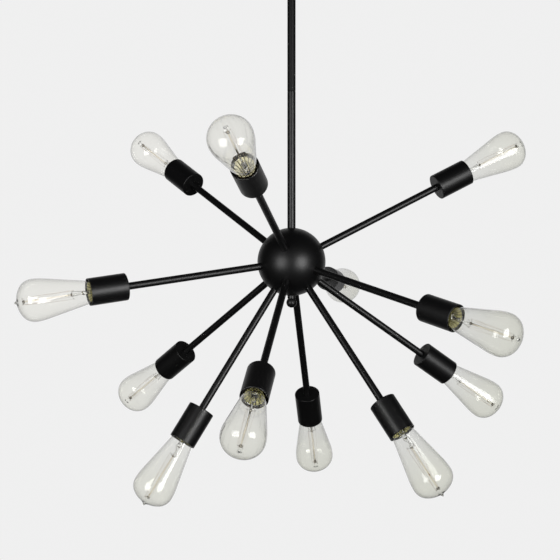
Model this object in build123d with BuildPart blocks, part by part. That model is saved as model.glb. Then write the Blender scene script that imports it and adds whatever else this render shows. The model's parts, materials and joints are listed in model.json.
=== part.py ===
from build123d import *
import os
from math import acos, asin, atan2, cos, degrees, hypot, radians, sin

os.makedirs("parts", exist_ok=True)

# Starburst ceiling light with twelve bulbs. Millimetres and degrees, +Z up. The origin is the middle of the
# crossbar's top face, in the plane of the ceiling, and everything hangs below it.

# Where the arms point: for each ring, the bearing about the stem and the rise above level of its three arms.
# Alternate rings are turned by half a step, and each arm leans a little from its ring, as the real ones do.
RINGS = {
    "upper": ((15.8, 26), (133.7, 27.7), (257.6, 24.6)),
    "middle": ((76.5, -7.4), (202.4, -7.4), (317.1, -13.3)),
    "lower": ((19.1, -34.1), (142.2, -34.3), (259, -33.9)),
    "bottom": ((80, -56.1), (205.5, -55.8), (321.3, -50)),
}

# Fits
THREAD_CLEARANCE = 0.1
RUNNING_CLEARANCE = 0.3
PIN_CLEARANCE = 0.08

# Hub ball, tapped for the arms, the stem and the finial
HUB_D = 106
HUB_WALL = 8
SPOT_FACE_DEPTH = 1
SPOT_FACE_MARGIN = 0.2

# Arms: straight tubes with a turned-down thread at each end
ARM_D = 11
ARM_BORE = 6
ARM_THREAD_D = 10
ARM_LENGTH = 216
ARM_TAIL = 9

# Bulb: a brass screw cap, a blown envelope with a drawn-off tip, and the mount inside it
CAP_D = 26
CAP_WALL = 0.4
CAP_LENGTH = 26.5
CAP_CONTACT_D = 9.6
CAP_CONTACT_HEIGHT = 1.3
CAP_HEEL_D = 18
CAP_HEEL_HEIGHT = 3.2
CAP_TAPER_HEIGHT = 2.5
GLASS_WALL = 0.9
GLASS_CEMENT = 0.2
BULB_D = 63
BULB_WIDEST = 81.8
BULB_STANDOUT = 111
CONE_BEND_RADIUS = 90
SHOULDER_RADIUS = 22
SHOULDER_TURN = 55
PIP_FOOT_R = 6.2
PIP_NOSE_R = 1.3
NECK_DEPTH = 12
STEM_FLARE_HEIGHT = 6
STEM_TUBE_R = 4.4
STEM_BORE_R = 3.2
STEM_TUBE_HEIGHT = 11
STEM_PRESS_R = 2.4
STEM_PRESS_HEIGHT = 10
BEAD_R = 3.3
SUPPORT_R = 1.1
BUTTON_R = 1.9
UPPER_BUTTON = 26
LOWER_BUTTON = 97

# Lamp holder and screw shell inside each cup, and the cup round them
SHELL_CLEARANCE = 0.4
SHELL_WALL = 0.5
SHELL_RECESS = 0.5
SHELL_FLOOR_HOLE_R = 7
HOLDER_WALL = 3.2
HOLDER_FIT = 0.1
HOLDER_CLEARANCE = 1.8
HOLDER_FLOOR = 11
HOLDER_THREAD_DEPTH = 5.5
HOLDER_RECESS = 9
CAP_ABOVE_HOLDER = 1.5
CENTRE_CONTACT_R = 3.5
CONTACT_HEIGHT = 7
CUP_WALL = 1.5
CUP_BACK_WALL = 2
CUP_EDGE_RADIUS = 1
CUP_RIM_RADIUS = 0.35
NECK_CLEARANCE = 1.9

# Lock nut that clamps each cup to its arm
LOCK_NUT_FLATS = 14
LOCK_NUT_THICKNESS = 3

# Stem: two rods joined by hidden nipples
ROD_D = 12.7
ROD_BORE = 8
ROD_THREAD_WALL = 1.35
UPPER_ROD_LENGTH = 212
LOWER_ROD_LENGTH = 212
ROD_CHAMFER = 0.5
NIPPLE_BORE = 6
NIPPLE_GRIP = 10

# Finial under the hub
FINIAL_BALL_D = 16
FINIAL_COLLAR_D = 12.4
FINIAL_COLLAR_HEIGHT = 4.5
FINIAL_DROP = 10.4
FINIAL_THREAD_D = 6
FINIAL_SPOT_DEPTH = 0.6

# Canopy, a spun cup that covers the ceiling box
CANOPY_D = 127
CANOPY_HEIGHT = 28
CANOPY_WALL = 1.2
CANOPY_CORNER_RADIUS = 6

# Crossbar: a flat strap with two slots for the ceiling box's screws
CROSSBAR_WIDTH = 20
CROSSBAR_THICKNESS = 2.5
CROSSBAR_END = 4
CROSSBAR_CENTRE_HOLE_D = 10.3
BOX_SCREW_SPACING = 79.4
BOX_SLOT_LENGTH = 18
BOX_SLOT_WIDTH = 4.8

# Studs that hang the canopy from the crossbar, and the nut stack in the canopy's floor
STUD_SPACING = 48
STUD_D = 4
STUD_NUT_FLATS = 7
STUD_NUT_THICKNESS = 2.6
CAP_NUT_D = 10
CAP_NUT_SKIRT = 3
GROUND_SCREW_X = 14.5
GROUND_SCREW_D = 4
GROUND_HEAD_D = 8
GROUND_HEAD_HEIGHT = 2.4
WASHER_D = 18
WASHER_THICKNESS = 1.2
CANOPY_NUT_FLATS = 14
CANOPY_NUT_THICKNESS = 4
NIPPLE_SHOW = 3

# Hang-straight swivel: a fork that turns on the canopy's nipple, and a knuckle that tilts in it
SWIVEL_D = 22
SWIVEL_DROP = 24
FORK_SLOT = 9
FORK_SLOT_ABOVE = 8.5
FORK_END_R = 8
TONGUE_R = 7
TONGUE_REACH = 12
KNUCKLE_D = 20
KNUCKLE_HEIGHT = 14
KNUCKLE_TAPER = 5
SWIVEL_PIN_D = 6
PIN_HEAD_D = 9
PIN_HEAD_HEIGHT = 1.8
SWIVEL_EDGE = 0.8

# Worked out from the sizes above
HUB_R = HUB_D / 2
ARM_SEAT = HUB_R - SPOT_FACE_DEPTH
CUP_BACK = ARM_SEAT + ARM_LENGTH
ARM_THREAD_R = ARM_THREAD_D / 2
ARM_END = CUP_BACK + ARM_TAIL
NUT_TOP = CUP_BACK + CUP_BACK_WALL + LOCK_NUT_THICKNESS
HOLDER_BORE_FLOOR = NUT_TOP + HOLDER_FLOOR
SHELL_INNER_R = CAP_D / 2 + SHELL_CLEARANCE
SHELL_OUTER_R = SHELL_INNER_R + SHELL_WALL
HOLDER_BORE_R = SHELL_OUTER_R + HOLDER_FIT
HOLDER_R = HOLDER_BORE_R + HOLDER_WALL
CUP_INNER_R = HOLDER_R + HOLDER_CLEARANCE
CUP_R = CUP_INNER_R + CUP_WALL
CONTACT_TIP = HOLDER_BORE_FLOOR + CONTACT_HEIGHT
CAP_TOP = CONTACT_TIP + CAP_LENGTH
HOLDER_RIM = CAP_TOP - CAP_ABOVE_HOLDER
CUP_MOUTH = HOLDER_RIM + HOLDER_RECESS
NECK_R = CUP_INNER_R - NECK_CLEARANCE
CAP_INNER_R = CAP_D / 2 - CAP_WALL
GLASS_FOOT_R = CAP_INNER_R - GLASS_CEMENT
GLASS_FOOT = CAP_TOP - NECK_DEPTH
BEAD_CENTRE = GLASS_FOOT + STEM_FLARE_HEIGHT + STEM_TUBE_HEIGHT + STEM_PRESS_HEIGHT
NIPPLE_R = ROD_D / 2 - ROD_THREAD_WALL
NIPPLE_HOLE_R = NIPPLE_R + THREAD_CLEARANCE
SWIVEL_TOP = -CANOPY_HEIGHT - RUNNING_CLEARANCE
PIVOT_Z = SWIVEL_TOP - SWIVEL_DROP
KNUCKLE_BOTTOM = PIVOT_Z - TONGUE_REACH - KNUCKLE_HEIGHT
ROD_JOINT = KNUCKLE_BOTTOM - UPPER_ROD_LENGTH
ROD_FOOT = ROD_JOINT - LOWER_ROD_LENGTH
HUB_CENTRE = Vector(0, 0, ROD_FOOT - ARM_SEAT)
CANOPY_FLOOR = -CANOPY_HEIGHT + CANOPY_WALL


def aim(azimuth, elevation):
    """Unit vector of an arm from its bearing and its rise."""
    level = cos(radians(elevation))
    return Vector(level * cos(radians(azimuth)), level * sin(radians(azimuth)), sin(radians(elevation)))


def tangent(azimuth):
    """Level unit vector square to an arm."""
    return Vector(-sin(radians(azimuth)), cos(radians(azimuth)), 0)


def section_plane(azimuth, elevation):
    """Plane through an arm's axis: X is the distance from the axis, Y the distance from the hub's centre."""
    across = tangent(azimuth)
    return Plane(origin=HUB_CENTRE, x_dir=across, z_dir=across.cross(aim(azimuth, elevation)))


def square_plane(azimuth, elevation, distance):
    """Plane square to an arm's axis, at a distance from the hub's centre, facing outward."""
    direction = aim(azimuth, elevation)
    return Plane(origin=HUB_CENTRE + direction * distance, x_dir=tangent(azimuth), z_dir=direction)


def arm_axis(azimuth, elevation):
    return Axis(HUB_CENTRE, aim(azimuth, elevation))


def finish(part, name):
    part.label = name
    export_step(part, f"parts/{name}.step")


# ---- Ceiling mount ----

half_bar = (BOX_SCREW_SPACING + BOX_SLOT_LENGTH) / 2 + CROSSBAR_END
with BuildPart() as crossbar:
    with BuildSketch(Plane.XY):
        SlotOverall(2 * half_bar, CROSSBAR_WIDTH)
        with GridLocations(BOX_SCREW_SPACING, 0, 2, 1):
            SlotOverall(BOX_SLOT_LENGTH, BOX_SLOT_WIDTH, mode=Mode.SUBTRACT)
        Circle(CROSSBAR_CENTRE_HOLE_D / 2, mode=Mode.SUBTRACT)
        with GridLocations(STUD_SPACING, 0, 2, 1):
            Circle(STUD_D / 2 + THREAD_CLEARANCE, mode=Mode.SUBTRACT)
        with Locations((GROUND_SCREW_X, 0)):
            Circle(GROUND_SCREW_D / 2 + THREAD_CLEARANCE, mode=Mode.SUBTRACT)
    extrude(amount=-CROSSBAR_THICKNESS)
finish(crossbar.part, "crossbar")

with BuildPart() as canopy:
    with BuildSketch(Plane.XY):
        Circle(CANOPY_D / 2)
    extrude(amount=-CANOPY_HEIGHT)
    fillet(canopy.edges().group_by(Axis.Z)[0], CANOPY_CORNER_RADIUS)
    offset(amount=-CANOPY_WALL, openings=canopy.faces().sort_by(Axis.Z)[-1])
    with BuildSketch(Plane.XY.offset(-CANOPY_HEIGHT)):
        Circle(NIPPLE_HOLE_R)
        with GridLocations(STUD_SPACING, 0, 2, 1):
            Circle(STUD_D / 2 + RUNNING_CLEARANCE)
    extrude(amount=CANOPY_WALL, mode=Mode.SUBTRACT)
finish(canopy.part, "canopy")

nut_stack_floor = CANOPY_FLOOR + WASHER_THICKNESS
nipple_top = nut_stack_floor + CANOPY_NUT_THICKNESS + NIPPLE_SHOW
with BuildPart() as canopy_fasteners:
    with BuildSketch(Plane.XY.offset(CANOPY_FLOOR)):
        Circle(WASHER_D / 2)
        Circle(NIPPLE_HOLE_R, mode=Mode.SUBTRACT)
    extrude(amount=WASHER_THICKNESS)
    with BuildSketch(Plane.XY.offset(nut_stack_floor)):
        RegularPolygon(CANOPY_NUT_FLATS / 2, 6, major_radius=False)
        Circle(NIPPLE_HOLE_R, mode=Mode.SUBTRACT)
    extrude(amount=CANOPY_NUT_THICKNESS)
    with BuildSketch(Plane.XY.offset(nipple_top)):
        Circle(NIPPLE_R)
        Circle(NIPPLE_BORE / 2, mode=Mode.SUBTRACT)
    extrude(amount=SWIVEL_TOP - NIPPLE_GRIP - nipple_top)
    with BuildSketch(Plane.XY):
        with GridLocations(STUD_SPACING, 0, 2, 1):
            Circle(STUD_D / 2)
    extrude(amount=-CANOPY_HEIGHT - CAP_NUT_SKIRT)
    with BuildSketch(Plane.XY.offset(-CROSSBAR_THICKNESS)):
        with GridLocations(STUD_SPACING, 0, 2, 1):
            RegularPolygon(STUD_NUT_FLATS / 2, 6, major_radius=False)
            Circle(STUD_D / 2 + THREAD_CLEARANCE, mode=Mode.SUBTRACT)
    extrude(amount=-STUD_NUT_THICKNESS)
    for side in (-1, 1):
        with BuildSketch(Plane.XZ.shift_origin((side * STUD_SPACING / 2, 0, -CANOPY_HEIGHT))):
            with BuildLine():
                Polyline(
                    (STUD_D / 2 + THREAD_CLEARANCE, 0),
                    (CAP_NUT_D / 2, 0),
                    (CAP_NUT_D / 2, -CAP_NUT_SKIRT),
                )
                JernArc(
                    (CAP_NUT_D / 2, -CAP_NUT_SKIRT),
                    (0, -1),
                    CAP_NUT_D / 2,
                    -90,
                )
                Polyline(
                    (0, -CAP_NUT_SKIRT - CAP_NUT_D / 2),
                    (0, -CAP_NUT_SKIRT - THREAD_CLEARANCE),
                    (STUD_D / 2 + THREAD_CLEARANCE, -CAP_NUT_SKIRT - THREAD_CLEARANCE),
                    (STUD_D / 2 + THREAD_CLEARANCE, 0),
                )
            make_face()
        revolve(axis=Axis((side * STUD_SPACING / 2, 0, 0), (0, 0, 1)))
    with BuildSketch(Plane.XY):
        with Locations((GROUND_SCREW_X, 0)):
            Circle(GROUND_SCREW_D / 2)
    extrude(amount=-CROSSBAR_THICKNESS)
    with BuildSketch(Plane.XY.offset(-CROSSBAR_THICKNESS)):
        with Locations((GROUND_SCREW_X, 0)):
            Circle(GROUND_HEAD_D / 2)
    extrude(amount=-GROUND_HEAD_HEIGHT)
finish(canopy_fasteners.part, "canopy_fasteners")

# ---- Hang-straight swivel ----

fork_shoulder = PIVOT_Z + FORK_SLOT_ABOVE
with BuildPart() as swivel_head:
    with BuildSketch(Plane.XY.offset(SWIVEL_TOP)):
        Circle(SWIVEL_D / 2)
    extrude(amount=PIVOT_Z - FORK_END_R - SWIVEL_TOP)
    with BuildSketch(Plane.YZ):
        with BuildLine():
            Polyline(
                (FORK_END_R, PIVOT_Z),
                (FORK_END_R, fork_shoulder),
                (SWIVEL_D / 2, fork_shoulder + SWIVEL_D / 2 - FORK_END_R),
                (SWIVEL_D / 2, SWIVEL_TOP),
                (-SWIVEL_D / 2, SWIVEL_TOP),
                (-SWIVEL_D / 2, fork_shoulder + SWIVEL_D / 2 - FORK_END_R),
                (-FORK_END_R, fork_shoulder),
                (-FORK_END_R, PIVOT_Z),
            )
            CenterArc((0, PIVOT_Z), FORK_END_R, 180, 180)
        make_face()
    extrude(amount=SWIVEL_D / 2, both=True, mode=Mode.INTERSECT)
    with BuildSketch(Plane.XY.offset(fork_shoulder)):
        Rectangle(FORK_SLOT, SWIVEL_D)
    extrude(amount=-FORK_SLOT_ABOVE - FORK_END_R, mode=Mode.SUBTRACT)
    with BuildSketch(Plane.YZ):
        with Locations((0, PIVOT_Z)):
            Circle(SWIVEL_PIN_D / 2 + PIN_CLEARANCE)
    extrude(amount=SWIVEL_D / 2, both=True, mode=Mode.SUBTRACT)
    with BuildSketch(Plane.XY.offset(SWIVEL_TOP)):
        Circle(NIPPLE_R + PIN_CLEARANCE)
    extrude(amount=-NIPPLE_GRIP - RUNNING_CLEARANCE, mode=Mode.SUBTRACT)
    with BuildSketch(Plane.XY.offset(SWIVEL_TOP)):
        Circle(NIPPLE_BORE / 2)
    extrude(amount=fork_shoulder - SWIVEL_TOP, mode=Mode.SUBTRACT)
    chamfer(swivel_head.edges().filter_by(GeomType.CIRCLE).sort_by(Axis.Z)[-1], SWIVEL_EDGE / 2)
finish(swivel_head.part, "swivel_head")

tongue_thickness = FORK_SLOT - 2 * RUNNING_CLEARANCE
knuckle_top = PIVOT_Z - TONGUE_REACH
with BuildPart() as swivel_knuckle:
    with BuildSketch(Plane.XZ):
        with BuildLine():
            Polyline(
                (0, knuckle_top),
                (KNUCKLE_D / 2 - SWIVEL_EDGE, knuckle_top),
                (KNUCKLE_D / 2, knuckle_top - SWIVEL_EDGE),
                (KNUCKLE_D / 2, KNUCKLE_BOTTOM + KNUCKLE_TAPER),
                (ROD_D / 2 + SWIVEL_EDGE, KNUCKLE_BOTTOM),
                (0, KNUCKLE_BOTTOM),
                close=True,
            )
        make_face()
    revolve(axis=Axis.Z)
    with BuildSketch(Plane.YZ):
        with BuildLine():
            Polyline(
                (TONGUE_R, PIVOT_Z),
                (TONGUE_R, knuckle_top),
                (-TONGUE_R, knuckle_top),
                (-TONGUE_R, PIVOT_Z),
            )
            CenterArc((0, PIVOT_Z), TONGUE_R, 0, 180)
        make_face()
    extrude(amount=tongue_thickness / 2, both=True)
    with BuildSketch(Plane.YZ):
        with Locations((0, PIVOT_Z)):
            Circle(SWIVEL_PIN_D / 2 + PIN_CLEARANCE)
    extrude(amount=SWIVEL_D / 2, both=True, mode=Mode.SUBTRACT)
    with BuildSketch(Plane.XY.offset(KNUCKLE_BOTTOM)):
        Circle(NIPPLE_HOLE_R)
    extrude(amount=NIPPLE_GRIP + RUNNING_CLEARANCE, mode=Mode.SUBTRACT)
finish(swivel_knuckle.part, "swivel_knuckle")

# ---- Stem ----


def make_rod(name, top, length):
    """Tube with a chamfered edge and a threaded socket at each end."""
    with BuildPart() as rod:
        with BuildSketch(Plane.XY.offset(top)):
            Circle(ROD_D / 2)
            Circle(ROD_BORE / 2, mode=Mode.SUBTRACT)
        extrude(amount=-length)
        for end, into in ((top, -1), (top - length, 1)):
            with BuildSketch(Plane.XY.offset(end)):
                Circle(NIPPLE_HOLE_R)
            extrude(amount=into * (NIPPLE_GRIP + RUNNING_CLEARANCE), mode=Mode.SUBTRACT)
        outer = rod.edges().filter_by(GeomType.CIRCLE).filter_by(lambda e: e.radius > NIPPLE_HOLE_R + 0.01)
        chamfer(outer, ROD_CHAMFER)
    finish(rod.part, name)


make_rod("stem_rod_upper", KNUCKLE_BOTTOM, UPPER_ROD_LENGTH)
make_rod("stem_rod_lower", ROD_JOINT, LOWER_ROD_LENGTH)

# ---- Hub ----

with BuildPart() as hub_ball:
    with Locations(HUB_CENTRE):
        Sphere(HUB_R)
        Sphere(HUB_R - HUB_WALL, mode=Mode.SUBTRACT)
    for ring in RINGS.values():
        for azimuth, elevation in ring:
            with Locations(square_plane(azimuth, elevation, HUB_R)):
                CounterBoreHole(
                    radius=ARM_THREAD_R + THREAD_CLEARANCE,
                    counter_bore_radius=ARM_D / 2 + SPOT_FACE_MARGIN,
                    counter_bore_depth=SPOT_FACE_DEPTH,
                    depth=HUB_WALL + SPOT_FACE_DEPTH,
                )
    with Locations(Plane(origin=HUB_CENTRE + Vector(0, 0, HUB_R), z_dir=(0, 0, 1))):
        CounterBoreHole(
            radius=NIPPLE_HOLE_R,
            counter_bore_radius=ROD_D / 2 + SPOT_FACE_MARGIN,
            counter_bore_depth=SPOT_FACE_DEPTH,
            depth=HUB_WALL + SPOT_FACE_DEPTH,
        )
    with Locations(Plane(origin=HUB_CENTRE - Vector(0, 0, HUB_R), z_dir=(0, 0, -1))):
        CounterBoreHole(
            radius=FINIAL_THREAD_D / 2 + THREAD_CLEARANCE,
            counter_bore_radius=FINIAL_COLLAR_D / 2 + SPOT_FACE_MARGIN,
            counter_bore_depth=FINIAL_SPOT_DEPTH,
            depth=HUB_WALL + SPOT_FACE_DEPTH,
        )
finish(hub_ball.part, "hub_ball")

finial_seat = HUB_CENTRE.Z - HUB_R + FINIAL_SPOT_DEPTH
with BuildPart() as finial:
    with Locations((0, 0, HUB_CENTRE.Z - HUB_R - FINIAL_DROP)):
        Sphere(FINIAL_BALL_D / 2)
    with BuildSketch(Plane.XY.offset(finial_seat)):
        Circle(FINIAL_COLLAR_D / 2)
    extrude(amount=-FINIAL_COLLAR_HEIGHT)
    with BuildSketch(Plane.XY.offset(finial_seat)):
        Circle(FINIAL_THREAD_D / 2)
    extrude(amount=HUB_WALL - FINIAL_SPOT_DEPTH)
finish(finial.part, "finial")

# ---- Nipples, lock nuts and the swivel's pin ----

nipples = (
    (KNUCKLE_BOTTOM + NIPPLE_GRIP, KNUCKLE_BOTTOM - NIPPLE_GRIP),
    (ROD_JOINT + NIPPLE_GRIP, ROD_JOINT - NIPPLE_GRIP),
    (ROD_FOOT + NIPPLE_GRIP, ROD_FOOT - HUB_WALL + SPOT_FACE_DEPTH),
)
with BuildPart() as threaded_fasteners:
    for high, low in nipples:
        with BuildSketch(Plane.XY.offset(high)):
            Circle(NIPPLE_R)
            Circle(NIPPLE_BORE / 2, mode=Mode.SUBTRACT)
        extrude(amount=low - high)
    for ring in RINGS.values():
        for azimuth, elevation in ring:
            with BuildSketch(square_plane(azimuth, elevation, CUP_BACK + CUP_BACK_WALL)):
                RegularPolygon(LOCK_NUT_FLATS / 2, 6, major_radius=False)
                Circle(ARM_THREAD_R + THREAD_CLEARANCE, mode=Mode.SUBTRACT)
            extrude(amount=LOCK_NUT_THICKNESS)
    with BuildSketch(Plane.YZ):
        with Locations((0, PIVOT_Z)):
            Circle(SWIVEL_PIN_D / 2)
    extrude(amount=SWIVEL_D / 2 + RUNNING_CLEARANCE, both=True)
    for side in (-1, 1):
        with BuildSketch(Plane.YZ.offset(side * (SWIVEL_D / 2 + RUNNING_CLEARANCE))):
            with Locations((0, PIVOT_Z)):
                Circle(PIN_HEAD_D / 2)
        extrude(amount=side * PIN_HEAD_HEIGHT)
finish(threaded_fasteners.part, "threaded_fasteners")

# ---- Arms, cups and bulbs ----


def make_arm(name, azimuth, elevation):
    """Tube with a turned-down thread at the hub and another through the cup's back."""
    with BuildPart() as arm:
        with BuildSketch(section_plane(azimuth, elevation)):
            with BuildLine():
                Polyline(
                    (ARM_BORE / 2, HUB_R - HUB_WALL),
                    (ARM_THREAD_R, HUB_R - HUB_WALL),
                    (ARM_THREAD_R, ARM_SEAT),
                    (ARM_D / 2, ARM_SEAT),
                    (ARM_D / 2, CUP_BACK),
                    (ARM_THREAD_R, CUP_BACK),
                    (ARM_THREAD_R, ARM_END),
                    (ARM_BORE / 2, ARM_END),
                    close=True,
                )
            make_face()
        revolve(axis=arm_axis(azimuth, elevation))
    finish(arm.part, name)


def make_cup(name, azimuth, elevation):
    """Deep cup with a rounded back edge and a hole for the arm's thread."""
    hole = ARM_THREAD_R + THREAD_CLEARANCE
    with BuildPart() as cup:
        with BuildSketch(section_plane(azimuth, elevation)):
            with BuildLine():
                Polyline((hole, CUP_BACK), (CUP_R - CUP_EDGE_RADIUS, CUP_BACK))
                CenterArc(
                    (CUP_R - CUP_EDGE_RADIUS, CUP_BACK + CUP_EDGE_RADIUS), CUP_EDGE_RADIUS, -90, 90
                )
                Polyline(
                    (CUP_R, CUP_BACK + CUP_EDGE_RADIUS),
                    (CUP_R, CUP_MOUTH - CUP_RIM_RADIUS),
                    (CUP_R - CUP_RIM_RADIUS, CUP_MOUTH),
                    (CUP_INNER_R, CUP_MOUTH),
                    (CUP_INNER_R, CUP_BACK + CUP_BACK_WALL),
                    (hole, CUP_BACK + CUP_BACK_WALL),
                    (hole, CUP_BACK),
                )
            make_face()
        revolve(axis=arm_axis(azimuth, elevation))
    finish(cup.part, name)


# The envelope's outline: a cone from the neck, a long bend to the widest place, a shoulder and a ball crown.
# Its corners are worked out once, and a wall inside it keeps the same centres with smaller radii.
bulb_r = BULB_D / 2
widest = CUP_MOUTH + BULB_WIDEST
bend_centre = (bulb_r - CONE_BEND_RADIUS, widest)
neck_to_centre = (bend_centre[0] - NECK_R, bend_centre[1] - CUP_MOUTH)
cone_lean = 90 - degrees(
    atan2(neck_to_centre[1], neck_to_centre[0]) - asin(CONE_BEND_RADIUS / hypot(*neck_to_centre))
)
shoulder_centre = (bulb_r - SHOULDER_RADIUS, widest)
crown_reach = shoulder_centre[0] / cos(radians(SHOULDER_TURN))
crown_radius = SHOULDER_RADIUS + crown_reach
crown_centre = (0, widest - crown_reach * sin(radians(SHOULDER_TURN)))


def on_circle(centre, radius, angle):
    return (centre[0] + radius * cos(radians(angle)), centre[1] + radius * sin(radians(angle)))


def draw_envelope(inset, foot, stop_r):
    """Adds the envelope's wall, moved in by inset, from the foot of the neck to where the crown is stop_r wide."""
    lean = radians(cone_lean)
    neck_side = (NECK_R - inset * cos(lean), CUP_MOUTH + inset * sin(lean))
    neck_foot = (GLASS_FOOT_R - inset, foot)
    neck_turn = (GLASS_FOOT_R - inset, CAP_TOP + GLASS_WALL)
    cone_top = on_circle(bend_centre, CONE_BEND_RADIUS - inset, -cone_lean)
    crown_stop = degrees(acos(stop_r / (crown_radius - inset)))
    Line(neck_foot, neck_turn)
    Spline(neck_turn, neck_side, tangents=((0, 1), (sin(lean), cos(lean))))
    Line(neck_side, cone_top)
    CenterArc(bend_centre, CONE_BEND_RADIUS - inset, -cone_lean, cone_lean)
    CenterArc(shoulder_centre, SHOULDER_RADIUS - inset, 0, SHOULDER_TURN)
    CenterArc(crown_centre, crown_radius - inset, SHOULDER_TURN, crown_stop - SHOULDER_TURN)
    return on_circle(crown_centre, crown_radius - inset, crown_stop)


def make_glass(name, azimuth, elevation):
    """Blown envelope with its drawn-off tip, sealed to the stem whose long rod carries the filament."""
    section = section_plane(azimuth, elevation)
    axis = arm_axis(azimuth, elevation)
    tip = CUP_MOUTH + BULB_STANDOUT
    bead_turn = degrees(acos(STEM_PRESS_R / BEAD_R))
    bead_top = degrees(acos(SUPPORT_R / BEAD_R))
    button_turn = degrees(acos(SUPPORT_R / BUTTON_R))
    pip_turn = acos(PIP_FOOT_R / crown_radius)
    upper_button = (0, CUP_MOUTH + UPPER_BUTTON)
    lower_button = (0, CUP_MOUTH + LOWER_BUTTON)
    with BuildPart() as glass:
        with BuildSketch(section):
            with BuildLine():
                crown_end = draw_envelope(0, GLASS_FOOT, PIP_FOOT_R)
                nose = (PIP_NOSE_R, tip - PIP_NOSE_R)
                Spline(crown_end, nose, tangents=((-sin(pip_turn), cos(pip_turn)), (0, 1)))
                CenterArc((0, tip - PIP_NOSE_R), PIP_NOSE_R, 0, 90)
                Polyline((0, tip), (0, GLASS_FOOT), (GLASS_FOOT_R, GLASS_FOOT))
            make_face()
        revolve(axis=axis)
        with BuildSketch(section):
            with BuildLine():
                inner_foot = (GLASS_FOOT_R - GLASS_WALL, GLASS_FOOT + GLASS_WALL)
                dome = draw_envelope(GLASS_WALL, inner_foot[1], 0)
                Polyline(
                    inner_foot,
                    (STEM_TUBE_R, GLASS_FOOT + STEM_FLARE_HEIGHT),
                    (STEM_TUBE_R, GLASS_FOOT + STEM_FLARE_HEIGHT + STEM_TUBE_HEIGHT),
                    (STEM_PRESS_R, BEAD_CENTRE - STEM_PRESS_HEIGHT / 2),
                    on_circle((0, BEAD_CENTRE), BEAD_R, -bead_turn),
                )
                CenterArc((0, BEAD_CENTRE), BEAD_R, -bead_turn, bead_turn + bead_top)
                Line(
                    on_circle((0, BEAD_CENTRE), BEAD_R, bead_top),
                    on_circle(upper_button, BUTTON_R, -button_turn),
                )
                CenterArc(upper_button, BUTTON_R, -button_turn, 2 * button_turn)
                Line(
                    on_circle(upper_button, BUTTON_R, button_turn),
                    on_circle(lower_button, BUTTON_R, -button_turn),
                )
                CenterArc(lower_button, BUTTON_R, -button_turn, 90 + button_turn)
                Line((0, CUP_MOUTH + LOWER_BUTTON + BUTTON_R), dome)
            make_face()
        revolve(axis=axis, mode=Mode.SUBTRACT)
        with BuildSketch(section):
            with BuildLine():
                Polyline(
                    (0, GLASS_FOOT),
                    (GLASS_FOOT_R - 2 * GLASS_WALL, GLASS_FOOT),
                    (STEM_BORE_R, GLASS_FOOT + STEM_FLARE_HEIGHT - GLASS_WALL),
                    (STEM_BORE_R, GLASS_FOOT + STEM_FLARE_HEIGHT + STEM_TUBE_HEIGHT - GLASS_WALL),
                    (0, GLASS_FOOT + STEM_FLARE_HEIGHT + STEM_TUBE_HEIGHT),
                    close=True,
                )
            make_face()
        revolve(axis=axis, mode=Mode.SUBTRACT)
    finish(glass.part, name)


def make_base(name, azimuth, elevation):
    """Brass screw cap with its glass insulator and solder contact."""
    section = section_plane(azimuth, elevation)
    axis = arm_axis(azimuth, elevation)
    contact_top = CONTACT_TIP + CAP_CONTACT_HEIGHT
    heel_top = contact_top + CAP_HEEL_HEIGHT
    shell_foot = heel_top + CAP_TAPER_HEIGHT
    with BuildPart() as base:
        with BuildSketch(section):
            with BuildLine():
                Polyline(
                    (CAP_HEEL_D / 2, heel_top),
                    (CAP_D / 2, shell_foot),
                    (CAP_D / 2, CAP_TOP),
                    (CAP_INNER_R, CAP_TOP),
                    (CAP_INNER_R, shell_foot + CAP_WALL),
                    (CAP_HEEL_D / 2, heel_top + CAP_WALL),
                    close=True,
                )
            make_face()
        revolve(axis=axis)
        with BuildSketch(section):
            with BuildLine():
                Polyline(
                    (0, contact_top),
                    (CAP_CONTACT_D / 2, contact_top),
                    (CAP_HEEL_D / 2 - CAP_WALL, heel_top),
                    (CAP_HEEL_D / 2 - CAP_WALL, shell_foot),
                    (0, shell_foot),
                    close=True,
                )
            make_face()
        revolve(axis=axis)
        with BuildSketch(square_plane(azimuth, elevation, CONTACT_TIP)):
            Circle(CAP_CONTACT_D / 2 - CAP_WALL)
        extrude(amount=CAP_CONTACT_HEIGHT)
    finish(base.part, name)


for ring_name, ring in RINGS.items():
    for number, (azimuth, elevation) in enumerate(ring, start=1):
        make_arm(f"{ring_name}_arm_{number}", azimuth, elevation)
        make_cup(f"{ring_name}_socket_cup_{number}", azimuth, elevation)
        make_glass(f"{ring_name}_bulb_glass_{number}", azimuth, elevation)
        make_base(f"{ring_name}_bulb_base_{number}", azimuth, elevation)

# ---- Lamp holders and their contacts, one set in each cup ----

with BuildPart() as lamp_holders:
    for ring in RINGS.values():
        for azimuth, elevation in ring:
            with BuildSketch(section_plane(azimuth, elevation)):
                with BuildLine():
                    Polyline(
                        (0, NUT_TOP + HOLDER_THREAD_DEPTH),
                        (ARM_THREAD_R + THREAD_CLEARANCE, NUT_TOP + HOLDER_THREAD_DEPTH),
                        (ARM_THREAD_R + THREAD_CLEARANCE, NUT_TOP),
                        (HOLDER_R, NUT_TOP),
                        (HOLDER_R, HOLDER_RIM),
                        (HOLDER_BORE_R, HOLDER_RIM),
                        (HOLDER_BORE_R, HOLDER_BORE_FLOOR),
                        (0, HOLDER_BORE_FLOOR),
                        close=True,
                    )
                make_face()
            revolve(axis=arm_axis(azimuth, elevation))
finish(lamp_holders.part, "lamp_holders")

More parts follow.
